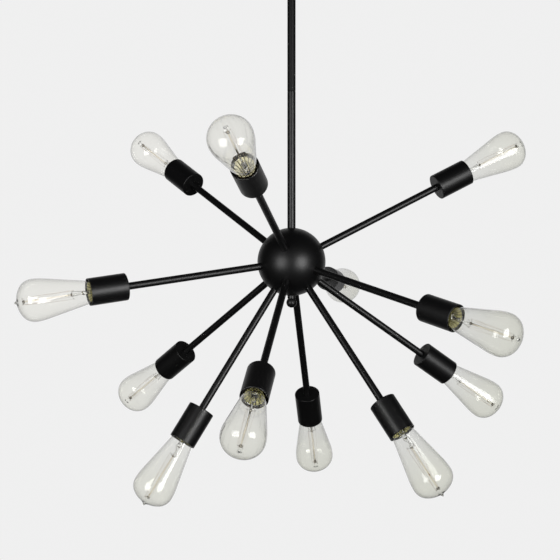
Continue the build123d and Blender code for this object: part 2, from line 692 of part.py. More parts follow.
with BuildPart() as screw_shells:
    for ring in RINGS.values():
        for azimuth, elevation in ring:
            with BuildSketch(section_plane(azimuth, elevation)):
                with BuildLine():
                    Polyline(
                        (SHELL_FLOOR_HOLE_R, HOLDER_BORE_FLOOR),
                        (SHELL_OUTER_R, HOLDER_BORE_FLOOR),
                        (SHELL_OUTER_R, HOLDER_RIM - SHELL_RECESS),
                        (SHELL_INNER_R, HOLDER_RIM - SHELL_RECESS),
                        (SHELL_INNER_R, HOLDER_BORE_FLOOR + SHELL_WALL),
                        (SHELL_FLOOR_HOLE_R, HOLDER_BORE_FLOOR + SHELL_WALL),
                        close=True,
                    )
                make_face()
            revolve(axis=arm_axis(azimuth, elevation))
            with BuildSketch(square_plane(azimuth, elevation, HOLDER_BORE_FLOOR)):
                Circle(CENTRE_CONTACT_R)
            extrude(amount=CONTACT_TIP - RUNNING_CLEARANCE - HOLDER_BORE_FLOOR)
finish(screw_shells.part, "screw_shells")

print("cup", round(2 * CUP_R, 2), "x", round(CUP_MOUTH - CUP_BACK, 2), "mm, back at", round(CUP_BACK, 2))
print("bulb", BULB_D, "x", round(CUP_MOUTH + BULB_STANDOUT - CONTACT_TIP, 2), "mm, cone leans", round(cone_lean, 2))
print("hub centre at", round(HUB_CENTRE.Z, 2), "pivot at", round(PIVOT_Z, 2))
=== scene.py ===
import json
import math

import bpy
from bpy.props import FloatProperty, FloatVectorProperty, IntProperty, PointerProperty
from mathutils import Matrix, Vector


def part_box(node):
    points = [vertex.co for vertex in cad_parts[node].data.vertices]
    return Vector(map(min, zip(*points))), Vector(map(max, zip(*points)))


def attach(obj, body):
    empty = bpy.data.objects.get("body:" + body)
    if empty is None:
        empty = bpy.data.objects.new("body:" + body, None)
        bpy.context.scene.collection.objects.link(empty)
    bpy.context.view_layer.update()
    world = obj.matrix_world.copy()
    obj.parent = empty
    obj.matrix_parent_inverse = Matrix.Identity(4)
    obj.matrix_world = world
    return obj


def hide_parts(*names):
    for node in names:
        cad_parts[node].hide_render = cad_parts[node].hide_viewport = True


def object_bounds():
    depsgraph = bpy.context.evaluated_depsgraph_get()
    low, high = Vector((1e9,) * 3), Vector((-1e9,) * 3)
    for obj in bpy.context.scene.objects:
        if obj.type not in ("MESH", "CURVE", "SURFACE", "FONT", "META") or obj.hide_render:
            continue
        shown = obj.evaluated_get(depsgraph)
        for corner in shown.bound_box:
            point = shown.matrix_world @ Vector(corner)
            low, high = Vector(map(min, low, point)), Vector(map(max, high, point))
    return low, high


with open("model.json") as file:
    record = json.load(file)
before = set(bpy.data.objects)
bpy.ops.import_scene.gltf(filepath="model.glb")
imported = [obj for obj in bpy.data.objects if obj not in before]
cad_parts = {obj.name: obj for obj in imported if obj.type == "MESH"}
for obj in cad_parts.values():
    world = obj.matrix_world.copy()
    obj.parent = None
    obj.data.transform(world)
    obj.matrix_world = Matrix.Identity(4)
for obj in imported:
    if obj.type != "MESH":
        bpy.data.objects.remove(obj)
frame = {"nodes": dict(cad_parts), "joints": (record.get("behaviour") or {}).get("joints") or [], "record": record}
CAD_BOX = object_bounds()

bl_info = {
    "name": "Starburst ceiling light",
    "version": (1, 0, 0),
    "blender": (4, 5, 0),
    "location": "View3D > Sidebar > Starburst",
    "description": "Finishes a ball-hub ceiling light: blown bulbs, caged filaments, brass caps, black coat",
    "category": "Object",
}

# Places along every lamp's axis, in metres from the hub's centre, where all the arms' axes meet.
ARM_SEAT = 0.052
SOCKET_FLOOR = 0.284
CONTACT_TIP = 0.291
CAP_TOP = 0.3175
SOCKET_RIM = 0.3155
CUP_MOUTH = 0.325
GLASS_FOOT = 0.3055
BULB_TIP = 0.436

HUB_CENTRE = Vector((0, 0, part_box("stem_rod_lower")[0].z - ARM_SEAT))
CANOPY_DEPTH = -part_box("canopy")[0].z
GOLDEN_TURN = math.pi * (3 - math.sqrt(5))
LAMPS = [
    (joint["child"], Vector(joint["axis"])) for joint in frame["joints"] if joint["type"] == "slide"
]

# Envelope: a cone from the neck, a long bend to the widest place, a shoulder, a ball crown and a
# drawn-off pip. The two shares say how much narrower the pip is inside than outside.
NECK_FOOT_R = 0.0116
NECK_MOUTH_R = 0.0171
BEND_R = 0.090
SHOULDER_R = 0.022
SHOULDER_TURN = math.radians(55)
PIP_FOOT_R = 0.0062
PIP_NOSE_R = 0.0013
PIP_FOOT_SHARE = 0.6
PIP_NOSE_SHARE = 0.4
PIP_WALL = 0.0034
NECK_ROWS = 8
CONE_ROWS = 16
CURVE_ROWS = 12
PIP_ROWS = 8
NOSE_ROWS = 4

# Glass mount inside the neck, from the foot up: flare, tube, flattened press, bead and support rod.
FLARE_HEIGHT = 0.006
TUBE_HEIGHT = 0.011
PRESS_HEIGHT = 0.010
TUBE_R = 0.0044
TUBE_BORE_R = 0.0032
PRESS_R = 0.0024
BEAD_R = 0.0033
ROD_R = 0.0013
BUTTON_R = 0.0019
LOWER_BUTTON = 0.422
UPPER_BUTTON = 0.351
TUBE_TOP = GLASS_FOOT + FLARE_HEIGHT + TUBE_HEIGHT
PRESS_TOP = TUBE_TOP + PRESS_HEIGHT
PRESS_WIDENING = 0.45
PRESS_FLATTENING = 0.30
ROD_GLASS_FOOT = UPPER_BUTTON - 0.012
ROD_GLASS_TOP = LOWER_BUTTON + 0.003

# Cement on the neck's inside, up to an edge below the mouth, with dark streaks round it.
CEMENT_EDGE = 0.3240
STREAKS = 16
STREAK_SHARE = 0.34

# Filament cage: hooks round each button, and the wire wound between them.
HOOKS = 5
UPPER_HOOK_REACH = 0.0068
LOWER_HOOK_REACH = 0.0052
UPPER_HOOK_DROP = 0.0018
LOWER_HOOK_RISE = 0.0008
HOOK_EYE_R = 0.0007
HOOK_WIRE_R = 0.0002
LEAD_WIRE_R = 0.00035
UPPER_COLLAR_R = 0.0007
LOWER_COLLAR_R = 0.0014
COLLAR_GAP = 0.0002
LEAD_END_DROP = 0.0026
FILAMENT_R = 0.00009
UPPER_LOOP_DROP = 0.0022
LOWER_LOOP_RISE = 0.0012
FILAMENT_STEPS = 7
FILAMENT_BOW = 0.10

# Brass screw cap and the socket's screw shell.
CAP_R = 0.013
CAP_WALL = 0.0004
THREAD_PITCH = 0.00363
THREAD_DEPTH = 0.0008
HEEL_R = 0.009
CONTACT_R = 0.0048
CONTACT_HEIGHT = 0.0013
HEEL_HEIGHT = 0.0032
TAPER_HEIGHT = 0.0025
COLLAR_HEIGHT = 0.005
COLLAR_RELIEF = 0.0002
COLLAR_LEAD_IN = 0.0006
RIM_HEIGHT = 0.0005
RIM_FOOT_HEIGHT = 0.0009
VITRITE_EDGE_R = 0.0004
VITRITE_SHARE = 0.8
SOLDER_INSET = 0.0006
SOLDER_SINK = 0.0002
WELD_R = 0.0005
WELD_HALF_HEIGHT = 0.0013
WELD_INSET = 0.0006
WELD_DROP = 0.0016
CEMENT_DEPTH = 0.004
CEMENT_GAP = 0.00002
CAP_THREAD_ROWS = 36
SHELL_CREST_R = 0.01345
SHELL_OUTER_R = 0.0139
SHELL_WALL = 0.0003
SHELL_FOOT_RISE = 0.0008
SHELL_FOOT_INSET = 0.0006
SHELL_HOLE_R = 0.007
SHELL_THREAD_ROWS = 48
CENTRE_TONGUE_R = 0.0035
TONGUE_THICKNESS = 0.0008
TONGUE_NECK_R = 0.0016
TONGUE_NECK_HEIGHT = 0.004
TONGUE_GAP = 0.0003

# Numbers of the materials in the glass and in the cap.
CLEAR, ROD, PALE_CEMENT, DARK_STREAK_CEMENT = range(4)
BRASS, VITRITE, SOLDER, CEMENT = range(4)

# Where the finishes change. A cup's inside is known by its normal's part along the way from the hub.
CUP_INSIDE = (-0.03, -0.01)
GROUND_SCREW_SPAN = (0.0095, 0.0195)
GROUND_SCREW_FOOT = -0.0052
# Painted light and shade: cement above this height over the hub is lit cream, below it shaded olive.
LIT_CEMENT_ABOVE_HUB = 0.03
CROWN_ABOVE_MOUTH = 0.045
# Painted light on the glass: its tint grows paler upward from the hub and towards -X.
LIGHT_PAINT_AT_HUB = 0.5
LIGHT_PAINT_UPWARD = 1.3
LIGHT_PAINT_SIDEWAYS = 1.2
FLOOR_RADII = (0.01, 0.6, 1.8)
FLOOR_SEGMENTS = 96
FLOOR_FADE_R = 1.15
FLOOR_FADE_WIDTH = 1.1
POLE_R = 1e-7


# ---- Settings that a user would change ----


class BulbSettings(bpy.types.PropertyGroup):
    """Sizes of the twelve bulbs."""

    width: FloatProperty(
        name="Bulb width", description="Diameter of the envelope at its widest place",
        default=0.063, min=0.04, max=0.08, unit="LENGTH",
    )
    standout: FloatProperty(
        name="Widest place", description="Distance of the widest place beyond the cup's mouth",
        default=0.0818, min=0.05, max=0.1, unit="LENGTH",
    )
    wall: FloatProperty(
        name="Glass wall", description="Thickness of the blown envelope",
        default=0.0009, min=0.0004, max=0.002, unit="LENGTH",
    )
    segments: IntProperty(
        name="Segments", description="Number of flats round each turned piece",
        default=96, min=24, max=256,
    )


class FinishSettings(bpy.types.PropertyGroup):
    """Colours and gloss of the finishes."""

    coat: FloatVectorProperty(
        name="Black coat", description="Colour of the powder coat on the metalwork",
        default=(0.0018, 0.0018, 0.0020), size=3, min=0, max=1, subtype="COLOR",
    )
    coat_roughness: FloatProperty(
        name="Coat roughness", description="How wide the coat's highlights are",
        default=0.40, min=0, max=1, subtype="FACTOR",
    )
    brass: FloatVectorProperty(
        name="Brass", description="Colour of the clean brass of the caps and shells",
        default=(0.78, 0.62, 0.30), size=3, min=0, max=1, subtype="COLOR",
    )
    glass_neck: FloatVectorProperty(
        name="Glass at the neck", description="Tint of the envelope near the cap",
        default=(0.905, 0.907, 0.895), size=3, min=0, max=1, subtype="COLOR",
    )
    glass_crown: FloatVectorProperty(
        name="Glass at the crown", description="Tint of the envelope round its widest place",
        default=(0.895, 0.897, 0.855), size=3, min=0, max=1, subtype="COLOR",
    )
    # Tint of the painted light: the glass is blended towards it upward and to one side.
    glass_painted_light: FloatVectorProperty(
        name="Palest glass", description="Tint of the palest bulbs, at one side of the light",
        default=(0.998, 0.995, 0.975), size=3, min=0, max=1, subtype="COLOR",
    )
    glass_rim: FloatVectorProperty(
        name="Glass edge-on", description="Tint of the envelope where it is seen along its wall",
        default=(0.03, 0.03, 0.03), size=3, min=0, max=1, subtype="COLOR",
    )


class StageSettings(bpy.types.PropertyGroup):
    """Background, lamps and camera."""

    background: FloatProperty(
        name="Background", description="Brightness of the backdrop, where 1 is white",
        default=0.868, min=0, max=1,
    )
    fill: FloatProperty(
        name="Fill", description="Brightness of the room on matt surfaces",
        default=0.30, min=0, max=2,
    )
    left_power: FloatProperty(
        name="Left softbox", description="Power of the softbox on the left of the camera",
        default=14.5, min=0, unit="POWER",
    )
    right_power: FloatProperty(
        name="Right softbox", description="Power of the softbox on the right of the camera",
        default=21.5, min=0, unit="POWER",
    )
    floor_drop: FloatProperty(
        name="Floor drop", description="Distance from the lowest bulb to the floor",
        default=0.55, min=0.1, max=3, unit="LENGTH",
    )


# ---- Node graphs ----


class Graph:
    """The node tree of one material or of the world."""

    def __init__(self, tree):
        self.tree = tree
        tree.nodes.clear()

    def add(self, kind, settings=None, inputs=None, output=0):
        """Adds a node with its settings and then its inputs, and returns one of its outputs."""
        node = self.tree.nodes.new(kind)
        for name, value in (settings or {}).items():
            if name == "stops":
                self.set_stops(node.color_ramp, value)
            else:
                setattr(node, name, value)
        for name, value in (inputs or {}).items():
            if isinstance(value, Signal):
                self.tree.links.new(value.socket, node.inputs[name])
            else:
                node.inputs[name].default_value = value
        return Signal(self, node.outputs[output]) if node.outputs else None

    @staticmethod
    def set_stops(ramp, stops):
        while len(ramp.elements) < len(stops):
            ramp.elements.new(1)
        for element, (position, value) in zip(ramp.elements, stops):
            element.position = position
            element.color = (value, value, value, 1)

    def place(self):
        """Position on the piece, in metres."""
        return self.add("ShaderNodeTexCoord", output="Object")

    def noise(self, vector, scale, detail):
        inputs = {"Vector": vector, "Scale": scale, "Detail": detail}
        return self.add("ShaderNodeTexNoise", None, inputs, "Fac")

    def ramp(self, value, *stops):
        """Runs a value through grey stops, each a position and a level."""
        return self.add("ShaderNodeValToRGB", {"stops": stops}, {"Fac": value}, "Color")

    def blend(self, factor, first, second):
        """Colour between two others."""
        inputs = {0: factor, 6: first, 7: second}
        return self.add("ShaderNodeMix", {"data_type": "RGBA"}, inputs, 2)

    def bump(self, height, distance, strength):
        inputs = {"Height": height, "Distance": distance, "Strength": strength}
        return self.add("ShaderNodeBump", None, inputs)

    def axis_part(self, vector, axis):
        return self.add("ShaderNodeSeparateXYZ", None, {"Vector": vector}, axis)

    def reach(self, place):
        """Distance from the hub's centre, which in a bulb is nearly the distance along its axis."""
        inputs = {0: place, 1: HUB_CENTRE}
        return self.add("ShaderNodeVectorMath", {"operation": "DISTANCE"}, inputs, "Value")

    def clamp(self, value):
        return self.add("ShaderNodeClamp", None, {"Value": value})


class Signal:
    """A shader socket that sums can be written with: each operator adds its Math node."""

    def __init__(self, graph, socket):
        self.graph = graph
        self.socket = socket

    def math(self, operation, first, second):
        return self.graph.add("ShaderNodeMath", {"operation": operation}, {0: first, 1: second})

    def __add__(self, other):
        return self.math("ADD", self, other)

    __radd__ = __add__

    def __sub__(self, other):
        return self.math("SUBTRACT", self, other)

    def __rsub__(self, other):
        return self.math("SUBTRACT", other, self)

    def __mul__(self, other):
        return self.math("MULTIPLY", self, other)

    __rmul__ = __mul__

    def __truediv__(self, other):
        return self.math("DIVIDE", self, other)

    def __pow__(self, other):
        return self.math("POWER", self, other)

    def above(self, level, blur):
        """1 where the signal is above a level and 0 below it, with a soft step that is blur wide."""
        return self.graph.clamp((self - (level - blur / 2)) / blur)

    def between(self, low, high, blur):
        """1 where the signal is between two levels and 0 elsewhere, with soft steps."""
        return self.above(low, blur) * (1 - self.above(high, blur))

    def sibling(self, output):
        """Another output of the same node."""
        return Signal(self.graph, self.socket.node.outputs[output])


def make_material(name, draw):
    """Material whose surface is what draw returns for its graph."""
    material = bpy.data.materials.new(name)
    material.use_nodes = True
    graph = Graph(material.node_tree)
    graph.add("ShaderNodeOutputMaterial", None, {"Surface": draw(graph)})
    return material


def surface(graph, inputs):
    return graph.add("ShaderNodeBsdfPrincipled", None, inputs)


def rgb(colour):
    return (*colour, 1)


def draw_coat(graph, gloss=0.6, dulling=0.0):
    """Satin black powder coat: a fine orange peel, a little dust on what faces up, dull inside cups."""
    finish = bpy.context.scene.light_finish
    place = graph.place()
    peel = graph.noise(place, 620, 2)
    grain = graph.noise(place, 3600, 1)
    cloud = graph.noise(place, 24, 3)
    normal = graph.add("ShaderNodeNewGeometry", output="Normal")
    dust = graph.axis_part(normal, "Z").above(0.75, 0.5) * graph.ramp(cloud, (0.4, 0), (0.75, 1)) * 0.5
    outward = graph.add("ShaderNodeVectorMath", {"operation": "SUBTRACT"}, {0: place, 1: HUB_CENTRE})
    inputs = {0: normal, 1: outward}
    stand = graph.add("ShaderNodeVectorMath", {"operation": "DOT_PRODUCT"}, inputs, "Value")
    inside = stand.between(*CUP_INSIDE, 0.002)
    dusty = (0.006, 0.006, 0.0065, 1)
    evenly = finish.coat_roughness + dulling - 0.03
    return surface(graph, {
        "Base Color": graph.blend(dust, rgb(finish.coat), dusty),
        "Roughness": evenly + 0.06 * cloud + 0.10 * dust + 0.5 * inside,
        "Specular IOR Level": gloss,
        "Normal": graph.bump(0.7 * peel + 0.3 * grain, 0.00003, 0.15),
    })


def draw_dull_coat(graph):
    """The same powder coat from a duller batch, on the upper rod."""
    return draw_coat(graph, 0.35, 0.12)


def draw_brass(graph):
    """Drawn brass sheet with a warm tarnish that gathers in patches."""
    finish = bpy.context.scene.light_finish
    place = graph.place()
    patches = graph.ramp(graph.noise(place, 160, 4), (0.35, 0), (0.7, 1))
    streaks = graph.noise(place, 1500, 2)
    return surface(graph, {
        "Base Color": graph.blend(0.65 * patches, rgb(finish.brass), (0.46, 0.33, 0.13, 1)),
        "Metallic": 1.0,
        "Roughness": 0.22 + 0.16 * patches + 0.05 * streaks,
        "Normal": graph.bump(streaks, 0.00002, 0.4),
    })


def draw_zinc(graph):
    """Zinc-plated steel with a fine grain, green on the earth screw and black below the canopy."""
    place = graph.place()
    height = graph.axis_part(place, "Z")
    along = height.sibling("X")
    grain = graph.noise(place, 2200, 2)
    spangle = graph.add("ShaderNodeTexVoronoi", None, {"Vector": place, "Scale": 260}, "Color")
    plate = graph.blend(0.12, (0.60, 0.61, 0.60, 1), spangle)
    green = along.between(*GROUND_SCREW_SPAN, 0.0004) * height.above(GROUND_SCREW_FOOT, 0.0002)
    black = 1 - height.above(-CANOPY_DEPTH - 0.00005, 0.0001)
    colour = graph.blend(green, plate, (0.03, 0.24, 0.09, 1))
    return surface(graph, {
        "Base Color": graph.blend(black, colour, rgb(bpy.context.scene.light_finish.coat)),
        "Metallic": 1 - black,
        "Roughness": 0.34 + 0.10 * grain,
        "Normal": graph.bump(grain, 0.00002, 0.5),
    })


def draw_phenolic(graph):
    """Moulded phenolic of the lamp holders: dark, with pale flecks of filler and a dull skin."""
    place = graph.place()
    flecks = graph.ramp(graph.noise(place, 900, 3), (0.62, 0), (0.75, 1))
    swirl = graph.noise(place, 90, 3)
    return surface(graph, {
        "Base Color": graph.blend(flecks * 0.5, (0.030, 0.024, 0.019, 1), (0.075, 0.060, 0.045, 1)),
        "Roughness": 0.42 + 0.14 * swirl,
        "Normal": graph.bump(swirl + 0.4 * flecks, 0.00004, 0.5),
    })


def draw_vitrite(graph):
    """Black pressed glass that insulates the cap's end."""
    ripple = graph.noise(graph.place(), 350, 2)
    return surface(graph, {
        "Base Color": graph.blend(ripple, (0.006, 0.006, 0.009, 1), (0.016, 0.015, 0.020, 1)),
        "Roughness": 0.10 + 0.10 * ripple,
        "Normal": graph.bump(ripple, 0.0001, 0.3),
    })


def draw_solder(graph):
    """Tin solder, wiped while it set."""
    wiped = graph.noise(graph.place(), 700, 4)
    return surface(graph, {
        "Base Color": graph.blend(wiped, (0.50, 0.50, 0.52, 1), (0.74, 0.73, 0.71, 1)),
        "Metallic": 1.0,
        "Roughness": 0.25 + 0.3 * wiped,
        "Normal": graph.bump(wiped, 0.0001, 0.6),
    })


def draw_wire(graph):
    """Nickel wire, dulled by the flame that sealed it."""
    scale_marks = graph.noise(graph.place(), 1800, 3)
    return surface(graph, {
        "Base Color": graph.blend(scale_marks, (0.10, 0.095, 0.085, 1), (0.34, 0.32, 0.29, 1)),
        "Metallic": 1.0,
        "Roughness": 0.30 + 0.25 * scale_marks,
        "Normal": graph.bump(scale_marks, 0.00001, 0.5),
    })


def draw_filament(graph):
    """Drawn carbon-coated filament, unlit: a warm grey-brown with a fine grain."""
    grain = graph.noise(graph.place(), 2500, 2)
    return surface(graph, {
        "Base Color": graph.blend(grain, (0.22, 0.15, 0.11, 1), (0.42, 0.31, 0.24, 1)),
        "Roughness": 0.5 + 0.2 * grain,
        "Normal": graph.bump(grain, 0.00001, 0.4),
    })


def draw_cement(graph):
    """Capping cement between the glass and its cap, with painted light and shade: lit cream in the upper bulbs,
    shaded olive in the lower.
    """
    place = graph.place()
    lumps = graph.noise(place, 900, 4)
    # Painted light and shade: one cement, lit cream in the upper bulbs and shaded olive in the lower.
    high = graph.axis_part(place, "Z").above(HUB_CENTRE.z + LIT_CEMENT_ABOVE_HUB, 0.2)
    cream = graph.blend(lumps, (0.50, 0.46, 0.28, 1), (0.72, 0.68, 0.48, 1))
    olive = graph.blend(lumps, (0.15, 0.14, 0.045, 1), (0.42, 0.39, 0.18, 1))
    return surface(graph, {
        "Base Color": graph.blend(high, olive, cream),
        "Roughness": 0.7 + 0.2 * lumps,
        "Normal": graph.bump(lumps, 0.0001, 0.7),
    })


def draw_dark_streak_cement(graph):
    """Capping cement in dark olive, for the streaks round the inside of the neck."""
    lumps = graph.noise(graph.place(), 900, 4)
    return surface(graph, {
        "Base Color": graph.blend(lumps, (0.035, 0.030, 0.012, 1), (0.16, 0.14, 0.06, 1)),
        "Roughness": 0.5 + 0.2 * lumps,
        "Normal": graph.bump(lumps, 0.0001, 0.7),
    })


def pass_light(graph, glass, colour):
    """The glass as seen, and a plain tint of this colour where its shadow falls."""
    shadow = graph.add("ShaderNodeLightPath", output="Is Shadow Ray")
    clear = graph.add("ShaderNodeBsdfTransparent", None, {"Color": colour})
    return graph.add("ShaderNodeMixShader", None, {0: shadow, 1: glass, 2: clear})


def draw_glass(graph):
    """Clear blown glass: straw-coloured round the crown, deeper edge-on, with painted light paler upward and to
    one side.
    """
    finish = bpy.context.scene.light_finish
    place = graph.place()
    crown = graph.reach(place).above(CUP_MOUTH + CROWN_ABOVE_MOUTH, 0.07)
    cords = graph.noise(place, 18, 3)
    tint = graph.blend(crown * (0.8 + 0.4 * cords), rgb(finish.glass_neck), rgb(finish.glass_crown))
    height = graph.axis_part(place, "Z")
    sideways = height.sibling("X")
    # Painted light: the tint turns paler upward and towards -X.
    pale = LIGHT_PAINT_AT_HUB + LIGHT_PAINT_UPWARD * (height - HUB_CENTRE.z) - LIGHT_PAINT_SIDEWAYS * sideways
    tint = graph.blend(graph.clamp(pale), tint, rgb(finish.glass_painted_light))
    edge = graph.add("ShaderNodeLayerWeight", None, {"Blend": 0.5}, "Facing") ** 5
    glass = surface(graph, {
        "Base Color": graph.blend(edge, tint, rgb(finish.glass_rim)),
        "Roughness": 0.0,
        "IOR": 1.5,
        "Transmission Weight": 1.0,
        "Normal": graph.bump(cords, 0.0006, 0.05),
    })
    return pass_light(graph, glass, (0.93, 0.93, 0.90, 1))


def draw_rod_glass(graph):
    """Drawn glass of the support rod, faintly brown in its thickness."""
    cords = graph.noise(graph.place(), 90, 3)
    glass = surface(graph, {
        "Base Color": graph.blend(cords, (0.87, 0.82, 0.72, 1), (0.95, 0.91, 0.83, 1)),
        "Roughness": 0.04,
        "IOR": 1.1,
        "Transmission Weight": 1.0,
        "Normal": graph.bump(cords, 0.0002, 0.2),
    })
    return pass_light(graph, glass, (0.84, 0.80, 0.72, 1))


def draw_floor(graph):
    """Pale matt floor that keeps the light's shadow and fades into the backdrop well beyond it."""
    stage = bpy.context.scene.light_stage
    place = graph.place()
    radius = graph.add("ShaderNodeVectorMath", {"operation": "LENGTH"}, {0: place}, "Value")
    tooth = graph.noise(place, 60, 3)
    matt = surface(graph, {
        "Base Color": graph.blend(tooth, (0.80, 0.80, 0.80, 1), (0.84, 0.84, 0.84, 1)),
        "Roughness": 0.9,
        "Specular IOR Level": 0.1,
    })
    white = (1, 1, 1, 1)
    backdrop = graph.add("ShaderNodeEmission", None, {"Color": white, "Strength": stage.background})
    clear = graph.add("ShaderNodeBsdfTransparent", None, {"Color": white})
    seen = graph.add("ShaderNodeLightPath", output="Is Camera Ray")
    faded = graph.add("ShaderNodeMixShader", None, {0: seen, 1: clear, 2: backdrop})
    fade = radius.above(FLOOR_FADE_R, FLOOR_FADE_WIDTH)
    return graph.add("ShaderNodeMixShader", None, {0: fade, 1: matt, 2: faded})


# ---- Turned, threaded and drawn shapes ----


class Shape:
    """Points and faces of a piece drawn along +Z, before it is placed."""

    def __init__(self):
        self.points = []
        self.faces = []
        self.paints = []
        self.paint = 0

    def add_face(self, *corners):
        self.faces.append(corners)
        self.paints.append(self.paint)

    def add_grid(self, rows):
        """Joins rows of points that run round the axis; a row of one point is a pole."""
        starts = []
        for row in rows:
            starts.append(len(self.points))
            self.points.extend(row)
        for lower, upper, a, b in zip(rows, rows[1:], starts, starts[1:]):
            count = max(len(lower), len(upper))
            for i in range(count):
                j = (i + 1) % count
                if len(lower) == 1:
                    self.add_face(a, b + j, b + i)
                elif len(upper) == 1:
                    self.add_face(a + i, a + j, b)
                else:
                    self.add_face(a + i, a + j, b + j, b + i)

    def turn(self, outline, segments):
        """Turns an outline of (radius, height) points about the axis.

        The faces look outward where the outline goes up outside the piece.
        """
        self.add_grid([
            [Vector((0, 0, height))] if radius < POLE_R else ring(radius, height, segments)
            for radius, height in outline
        ])

    def paint_streaks(self, start, chosen, pale, dark):
        """Paints each face whose foot is chosen, from face number start: pale, with dark streaks."""
        for index in range(start, len(self.faces)):
            corners = self.faces[index]
            foot = (self.points[corners[0]] + self.points[corners[1]]) / 2
            if chosen(foot):
                turn = math.atan2(foot.y, foot.x) / (2 * math.pi)
                self.paints[index] = dark if turn * STREAKS % 1 < STREAK_SHARE else pale

    def turn_closed(self, outline, segments):
        """Turns an outline that meets itself, such as a washer's section."""
        self.turn(outline + outline[:1], segments)

    def pull(self, path, radius, sides=6):
        """Round wire along a path of points, with closed ends."""
        rows = [[Vector(path[0])]]
        normal = (path[1] - path[0]).orthogonal().normalized()
        for before, here, after in zip([path[0]] + path, path, path[1:] + [path[-1]]):
            direction = (after - before).normalized()
            normal = (normal - direction * normal.dot(direction)).normalized()
            side = direction.cross(normal)
            rows.append([
                here + (normal * math.cos(a) + side * math.sin(a)) * radius for a in ring_angles(sides)
            ])
        rows.append([Vector(path[-1])])
        self.add_grid(rows)

    def mesh(self, name, materials, sharp=math.radians(35)):
        mesh = bpy.data.meshes.new(name)
        mesh.from_pydata([tuple(p) for p in self.points], [], self.faces)
        for material in materials:
            mesh.materials.append(material)
        mesh.polygons.foreach_set("material_index", self.paints)
        mesh.polygons.foreach_set("use_smooth", [True] * len(self.faces))
        mesh.set_sharp_from_angle(angle=sharp)
        mesh.validate()
        return mesh


def ring_angles(count):
    return [2 * math.pi * i / count for i in range(count)]


def ring(radius, height, segments):
    """Points round the axis."""
    return [Vector((radius * math.cos(a), radius * math.sin(a), height)) for a in ring_angles(segments)]


def straight(start, stop, steps):
    """Points of a straight line, leaving out its first one."""
    shares = [step / steps for step in range(1, steps + 1)]
    return [(start[0] + (stop[0] - start[0]) * t, start[1] + (stop[1] - start[1]) * t) for t in shares]


def arc(centre, radius, start, stop, steps):
    """Points of an arc, leaving out its first one, with angles from outward towards up."""
    angles = [start + (stop - start) * i / steps for i in range(1, steps + 1)]
    return [(centre[0] + radius * math.cos(a), centre[1] + radius * math.sin(a)) for a in angles]


def flow(start, start_way, stop, stop_way, steps, pull=1.0):
    """Points of a smooth curve from start to stop that leaves and arrives along the given ways."""
    span = math.dist(start, stop) * pull
    found = []
    for i in range(1, steps + 1):
        t = i / steps
        weights = (
            2 * t**3 - 3 * t**2 + 1, (t**3 - 2 * t**2 + t) * span,
            3 * t**2 - 2 * t**3, (t**3 - t**2) * span,
        )
        terms = zip(weights, (start, start_way, stop, stop_way))
        parts = [(w * p[0], w * p[1]) for w, p in terms]
        found.append((sum(p[0] for p in parts), sum(p[1] for p in parts)))
    return found


def envelope_outline(inset, foot, tip):
    """Outline of the envelope's wall, moved in by inset, from the foot of the neck to the tip."""
    bulb = bpy.context.scene.light_bulb
    half = bulb.width / 2
    widest = CUP_MOUTH + bulb.standout
    bend_centre = (half - BEND_R, widest)
    to_centre = (bend_centre[0] - NECK_MOUTH_R, bend_centre[1] - CUP_MOUTH)
    centre_way = math.atan2(to_centre[1], to_centre[0])
    lean = math.pi / 2 - centre_way + math.asin(BEND_R / math.hypot(*to_centre))
    reach = (half - SHOULDER_R) / math.cos(SHOULDER_TURN)
    crown_r = SHOULDER_R + reach - inset
    crown_centre = (0, widest - reach * math.sin(SHOULDER_TURN))
    neck_turn = (NECK_FOOT_R - inset, CAP_TOP + bulb.wall)
    neck_side = (NECK_MOUTH_R - inset * math.cos(lean), CUP_MOUTH + inset * math.sin(lean))
    cone_way = (math.sin(lean), math.cos(lean))
    points = [(NECK_FOOT_R - inset, foot), neck_turn]
    points += flow(neck_turn, (0, 1), neck_side, cone_way, NECK_ROWS)
    cone_top = (
        bend_centre[0] + (BEND_R - inset) * math.cos(-lean),
        bend_centre[1] + (BEND_R - inset) * math.sin(-lean),
    )
    points += straight(neck_side, cone_top, CONE_ROWS)
    points += arc(bend_centre, BEND_R - inset, -lean, 0, CURVE_ROWS)
    points += arc((half - SHOULDER_R, widest), SHOULDER_R - inset, 0, SHOULDER_TURN, CURVE_ROWS)
    foot_r = PIP_FOOT_R if inset == 0 else PIP_FOOT_R * PIP_FOOT_SHARE
    nose_r = PIP_NOSE_R if inset == 0 else PIP_NOSE_R * PIP_NOSE_SHARE
    pip_turn = math.acos(foot_r / crown_r)
    points += arc(crown_centre, crown_r, SHOULDER_TURN, pip_turn, CURVE_ROWS)
    way = (-math.sin(pip_turn), math.cos(pip_turn))
    points += flow(points[-1], way, (nose_r, tip - nose_r), (0, 1), PIP_ROWS, 0.9)
    points += arc((0, tip - nose_r), nose_r, 0, math.pi / 2, NOSE_ROWS)
    points[-1] = (0, tip)
    return points


